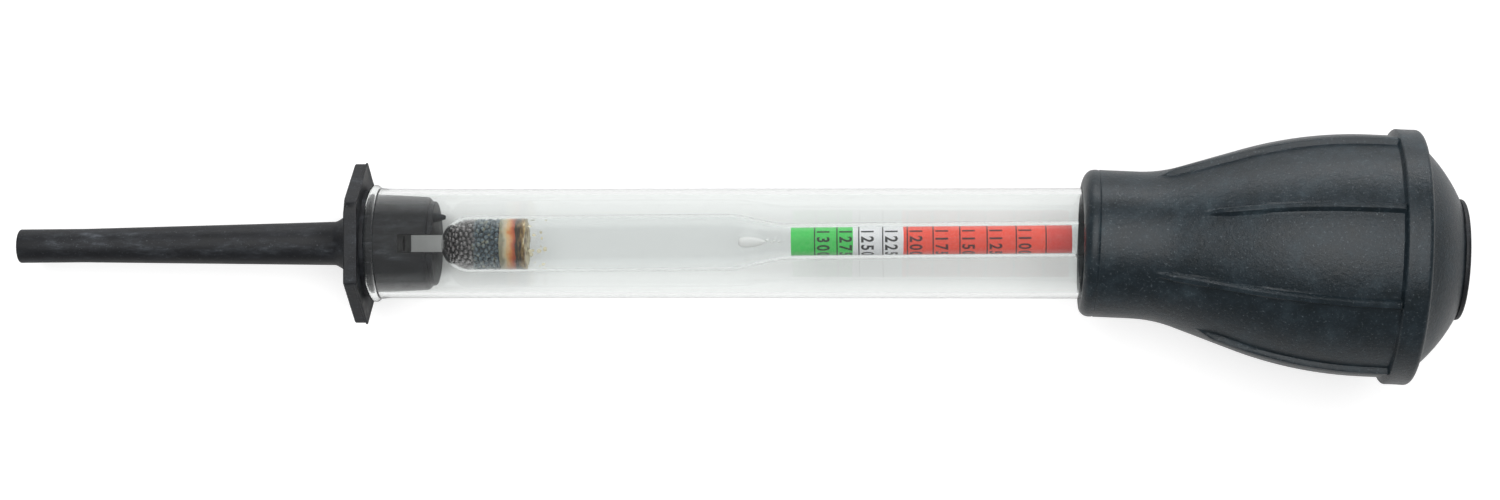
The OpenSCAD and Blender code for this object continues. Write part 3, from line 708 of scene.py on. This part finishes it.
outer_back = (along_skin(seam_at, ring_at - 0.2, 34)
              + [(ring_at - 0.05, bulb_r), (ring_at + 0.12, bulb_r + 0.22), (ring_at + 0.3, ring_r - 0.5)]
              + arc(ring_at + 0.85, ring_r - 0.5, 0.5, 165, 90, 4)
              + [(ring_at + 1.8, ring_r - 0.03), (ring_at + 3.2, ring_r - 0.03)]
              + arc(ring_end - ring_round, ring_r - ring_round, ring_round, 90, 8, 8)
              + [(ring_end, dome_r + 0.6), (ring_end + 0.04, dome_r + 0.15)]
              + arc(dome_centre.x, dome_centre.y, dome_curve, dome_from, dome_to, 10)[1:]
              + [(bulb_len, hole_r)])
inner_back = ([(bulb_len - bulb_wall, hole_r)]
              + arc(dome_centre.x, dome_centre.y, dome_curve - bulb_wall, dome_to + 0.8, dome_from - 1.5, 6)
              + along_skin(chamber_end, seam_at, 14, bulb_wall))


def shaped(bm):
    """Crowds the spun bulb's vertices at its ribs, raises the ribs and leans the body."""
    for v in bm.verts:
        a, r = v.co.x, v.co.yz.length
        turn = math.atan2(v.co.y, v.co.z)
        turn += crowding * math.sin(rib_n * turn)
        spot = turn / (2 * math.pi / rib_n) - 0.5
        off = (spot - round(spot)) * (2 * math.pi / rib_n) * r
        start = rib_starts[round(spot) % 2]
        outer = r > skin_r(min(a, full_at)) - 0.5
        if outer and start < a < ring_at + 0.2:
            rise = ease((a - start) / rib_rise)
            width = rib_w / 2 * (0.6 + 0.4 * ease((a - start) / rib_widen))
            r += rib_h * rise * ease(1.6 - abs(off) / width)
        y, z = r * math.sin(turn), r * math.cos(turn)
        if a <= 3:
            share = ease((r - throat_r) / 2.5)
        else:
            share = 1.0 if outer else ease((a - throat_end) / 5)
        bend = lean * share
        v.co = (mouth_x + bend_at + (a - bend_at) * math.cos(bend) + y * math.sin(bend),
                y * math.cos(bend) - (a - bend_at) * math.sin(bend) - sag * share, z)


def swept(profile, side, name):
    """One part of the bulb's skin, spun through half a turn or a whole one, as a mesh on the table."""
    bm = bmesh.new()
    points = [bm.verts.new((a, 0, r)) for a, r in profile]
    edges = [bm.edges.new(pair) for pair in zip(points, points[1:] + points[:1])]
    bmesh.ops.spin(bm, geom=points + edges, cent=(0, 0, 0), axis=(1, 0, 0), dvec=(0, 0, 0),
                   angle=-side * math.pi if side else 2 * math.pi,
                   steps=half_turn_steps * (1 if side else 2), use_merge=not side)
    if side:
        bmesh.ops.holes_fill(bm, edges=[e for e in bm.edges if e.is_boundary], sides=0)
    bmesh.ops.recalc_face_normals(bm, faces=bm.faces)
    shaped(bm)
    return object_of(name, bm, on_table, crease=32)


def spot_of(mesh, corner):
    """The place of a face's corner, to 5 micrometres."""
    return tuple(round(c * 2e5) for c in mesh.vertices[mesh.loops[corner].vertex_index].co)


# The quarters take their shading from one whole bulb, so that no seam shows where they meet
whole = swept(outer_front + outer_back[1:] + inner_back[:-1] + inner_front, 0, "whole_bulb")
corners = {}
for loop in whole.data.loops:
    shading = whole.data.corner_normals[loop.index].vector.copy()
    corners.setdefault(spot_of(whole.data, loop.index), []).append(shading)
bpy.data.objects.remove(whole)
quarters = []
for side, word in ((1, "left"), (-1, "right")):
    for profile, part in ((outer_front + inner_front, "front"), (outer_back + inner_back, "back")):
        quarters.append(swept(profile, side, f"bulb_skin_{word}_{part}"))
        mesh = quarters[-1].data
        normals = []
        for face in mesh.polygons:
            for index in face.loop_indices:
                near = corners.get(spot_of(mesh, index), [Vector()])
                found = max(near, key=lambda n: n.dot(face.normal))
                normals.append(found if found.dot(face.normal) > 0.6 else Vector())
        mesh.normals_split_custom_set(normals)

# Soft black rubber: satin and blue-black, with a dry grey bloom in broad clouds and pale dust
soft_rubber, tree, where = empty_material("soft_rubber_moulded")
# Clouds of about 6 mm with finer mottling in them, and specks of dust of about 0.4 mm
cloud = add_node(tree, "TexNoise", {"Scale": 170, "Detail": 9, "Roughness": 0.74}, {"Vector": where})
tone = ramp(tree, cloud.outputs["Fac"],
            (0.34, "#10191d"), (0.50, "#172127"), (0.62, "#222d33"), (0.75, "#36434a"))
dust = add_node(tree, "TexNoise", {"Scale": 2300, "Detail": 5, "Roughness": 0.75}, {"Vector": where})
dusty = add_node(tree, "MapRange", {"From Min": 0.58, "From Max": 0.74, "To Max": 0.5},
                 {"Value": dust.outputs["Fac"]})
colour = add_node(tree, "Mix", {7: linear("#7c868c")}, {0: dusty.outputs["Result"], 6: tone.outputs["Color"]},
                  data_type="RGBA")
gloss = add_node(tree, "MapRange", {"From Min": 0.35, "From Max": 0.7, "To Min": 0.28, "To Max": 0.42},
                 {"Value": cloud.outputs["Fac"]})
grain = add_node(tree, "TexNoise", {"Scale": 1300, "Detail": 6, "Roughness": 0.7}, {"Vector": where})
relief = add_node(tree, "Bump", {"Strength": 0.65, "Distance": 0.00014}, {"Height": grain.outputs["Fac"]})
surface(tree, {"IOR": 1.52, "Specular IOR Level": 0.3},
        {"Base Color": colour.outputs[2], "Roughness": gloss.outputs["Result"],
         "Normal": relief.outputs["Normal"]})

# Each quarter takes the soft rubber and has its place baked into its mesh, and the moulding and flank it
# stands for are hidden
for quarter in quarters:
    side = 1 if "left" in quarter.name else -1
    along = 1 if "front" in quarter.name else -1
    quarter.data.materials.append(soft_rubber)
    word = "left" if side > 0 else "right"
    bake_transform(quarter)
    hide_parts("bulb_moulding", "bulb_flank_" + word)


# ---- End plug of the bulb ----
# A plug of harder rubber, pressed into the hole that the bulb was moulded through. Its flat head shows
# as a dark disc at the bulb's end.
cap_r, cap_t, shank_r = 10.9, 1.1, 7.5
plug_start, plug_end = bulb_len - bulb_wall, bulb_len + cap_t
cap = turned([(plug_start, 0), (plug_start, shank_r - 0.3), (plug_start + 0.3, shank_r),
              (bulb_len + 0.02, shank_r), (bulb_len + 0.02, cap_r - 0.2), (bulb_len + 0.2, cap_r)]
             + arc(plug_end - 0.6, cap_r - 0.6, 0.6, 90, 0, 6)
             + [(plug_end, 6), (plug_end - 0.05, 3), (plug_end - 0.05, 0)], 128, closed=False)
leaning = (on_table @ Matrix.Translation((mouth_x + bend_at, -sag, 0)) @ Matrix.Rotation(-lean, 4, "Z")
           @ Matrix.Translation((-bend_at, 0, 0)))
end_plug = object_of("end_plug", cap, leaning)
end_plug.data.materials.append(hard_rubber)
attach(end_plug, "bulb")
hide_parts("bulb_end_plug")


# ---- Table, light and camera ----
# A pale matt floor in a plain studio, with one broad soft lamp overhead and a low one across the far
# side, which gives the rubber its sheen. The photograph was taken from straight above.
floor_bm = bmesh.new()
bmesh.ops.create_grid(floor_bm, x_segments=1, y_segments=1, size=2000)
floor = object_of("floor", floor_bm, Matrix.Scale(0.001, 4))
floor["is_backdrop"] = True
pale, tree, where = empty_material("pale_floor_matt_painted_shadow")
path = add_node(tree, "LightPath")
# The floor is lifted to white for the camera, and less so in reflections and through glass. Under the
# nozzle's
# plug a shadow is painted on it: there it isn't lifted through glass and its own colour is darker, so the
# slot shows dark
lift_seen, lift_mirrored, lift_through, painted_shadow_r, painted_shadow_end, painted_shadow_tone, floor_pale = (
    0.6, 0.15, 0.3, 0.004, 0.008, 0.3, 0.6)
straight = add_node(tree, "Math", {1: lift_seen}, {0: path.outputs["Is Camera Ray"]}, operation="MULTIPLY")
mirrored = add_node(tree, "Math", {1: lift_mirrored}, {0: path.outputs["Is Glossy Ray"]},
                    operation="MULTIPLY")
direct = add_node(tree, "Math", links={0: straight.outputs["Value"], 1: mirrored.outputs["Value"]},
                  operation="MAXIMUM")
slot_on_floor = on_table @ Vector((nozzle_end_x - slot_depth / 2, 0, 0))
slot_on_floor.z = 0
from_slot = add_node(tree, "VectorMath", {1: slot_on_floor}, {0: where}, operation="DISTANCE")
# Painted shadow: the lift seen through glass fades out within 4 to 8 mm of the slot
lift_beside_painted_shadow = add_node(tree, "MapRange",
                      {"From Min": painted_shadow_r, "From Max": painted_shadow_end, "To Min": 0.0, "To Max": lift_through},
                      {"Value": from_slot.outputs["Value"]})
behind = add_node(tree, "Math",
                  links={0: path.outputs["Is Transmission Ray"], 1: lift_beside_painted_shadow.outputs["Result"]},
                  operation="MULTIPLY")
lift = add_node(tree, "Math", links={0: direct.outputs["Value"], 1: behind.outputs["Value"]},
                operation="MAXIMUM")
# Painted shadow: the floor's own colour drops from 0.6 to 0.3 in the same patch under the plug
floor_tone_with_painted_shadow = add_node(tree, "MapRange", {"From Min": 0.0, "From Max": lift_through,
                                        "To Min": painted_shadow_tone, "To Max": floor_pale},
                     {"Value": lift_beside_painted_shadow.outputs["Result"]})
surface(tree, {"Roughness": 0.9, "Specular IOR Level": 0.0, "Emission Color": (1, 1, 1, 1)},
        {"Base Color": floor_tone_with_painted_shadow.outputs["Result"], "Emission Strength": lift.outputs["Value"]})
floor.data.materials.append(pale)

# A dim studio, which the camera sees as white. Through the glass it is pale low down, as the far part of
# the table would be
dim, far_table, pale_up_to, dim_from = 0.28, 0.9, 0.12, 0.38
world = bpy.data.worlds.new("studio")
bpy.context.scene.world = world
world.use_nodes = True
tree = world.node_tree
tree.nodes.clear()
path = add_node(tree, "LightPath")
height = add_node(tree, "SeparateXYZ", links={"Vector": add_node(tree, "TexCoord").outputs["Generated"]})
low_down = add_node(tree, "MapRange",
                    {"From Min": pale_up_to, "From Max": dim_from, "To Min": far_table, "To Max": dim},
                    {"Value": height.outputs["Z"]})
through_glass = add_node(tree, "Mix", {2: dim}, {0: path.outputs["Is Transmission Ray"],
                                                 3: low_down.outputs["Result"]}, data_type="FLOAT")
level = add_node(tree, "Math", links={0: through_glass.outputs[0], 1: path.outputs["Is Camera Ray"]},
                 operation="MAXIMUM")
sky = add_node(tree, "Background", {"Color": (1, 1, 1, 1)}, {"Strength": level.outputs["Value"]})
add_node(tree, "OutputWorld", links={"Surface": sky.outputs["Background"]})

# The lamps don't shine on the clear glass itself, which would mirror them as hard bands
clear_pieces = bpy.data.collections.new("clear_pieces")
for piece in (barrel, envelope):
    clear_pieces.objects.link(piece)
for member in clear_pieces.collection_objects:
    member.light_linking.link_state = "EXCLUDE"
for name, place, width, height, watts in (("overhead_lamp", Vector((0, 0.2, 0.95)), 1.0, 1.0, 10.5),
                                          ("far_lamp", Vector((0.15, 0.9, 0.1)), 1.2, 0.2, 5.2)):
    light = bpy.data.lights.new(name, "AREA")
    light.shape, light.size, light.size_y, light.energy = "RECTANGLE", width, height, watts
    lamp = bpy.data.objects.new(name, light)
    lamp.location = place
    lamp.rotation_mode = "QUATERNION"
    lamp.rotation_quaternion = (-place).to_track_quat("-Z", "Y")
    lamp.visible_camera = False
    lamp.light_linking.receiver_collection = clear_pieces
    bpy.context.scene.collection.objects.link(lamp)

# Straight above the middle, leaning so that the barrel climbs 2.63 degrees to it. The picture is 1500
# pixels wide, and the camera's distance is 3100 of them
image_w, focal_px, sensor_w, distance, pitch, aim_x, aim_y = 1500, 3100, 36, 0.5636, 2.63, 134.3, -1.2
tilt_back = climb - math.radians(pitch)
camera_data = bpy.data.cameras.new("camera")
camera_data.sensor_width = sensor_w
camera_data.lens = sensor_w * focal_px / image_w
camera = bpy.data.objects.new("camera", camera_data)
ahead = Vector((math.sin(tilt_back), 0, -math.cos(tilt_back)))
aim = on_table @ Vector((aim_x, aim_y, 0))
camera.location = aim - ahead * distance
camera.rotation_mode = "QUATERNION"
camera.rotation_quaternion = Matrix((
    (math.cos(tilt_back), 0, -ahead.x), (0, 1, 0), (math.sin(tilt_back), 0, -ahead.z))).to_quaternion()
bpy.context.scene.collection.objects.link(camera)
bpy.context.scene.camera = camera
bpy.context.scene.view_settings.view_transform = "Standard"

low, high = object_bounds()
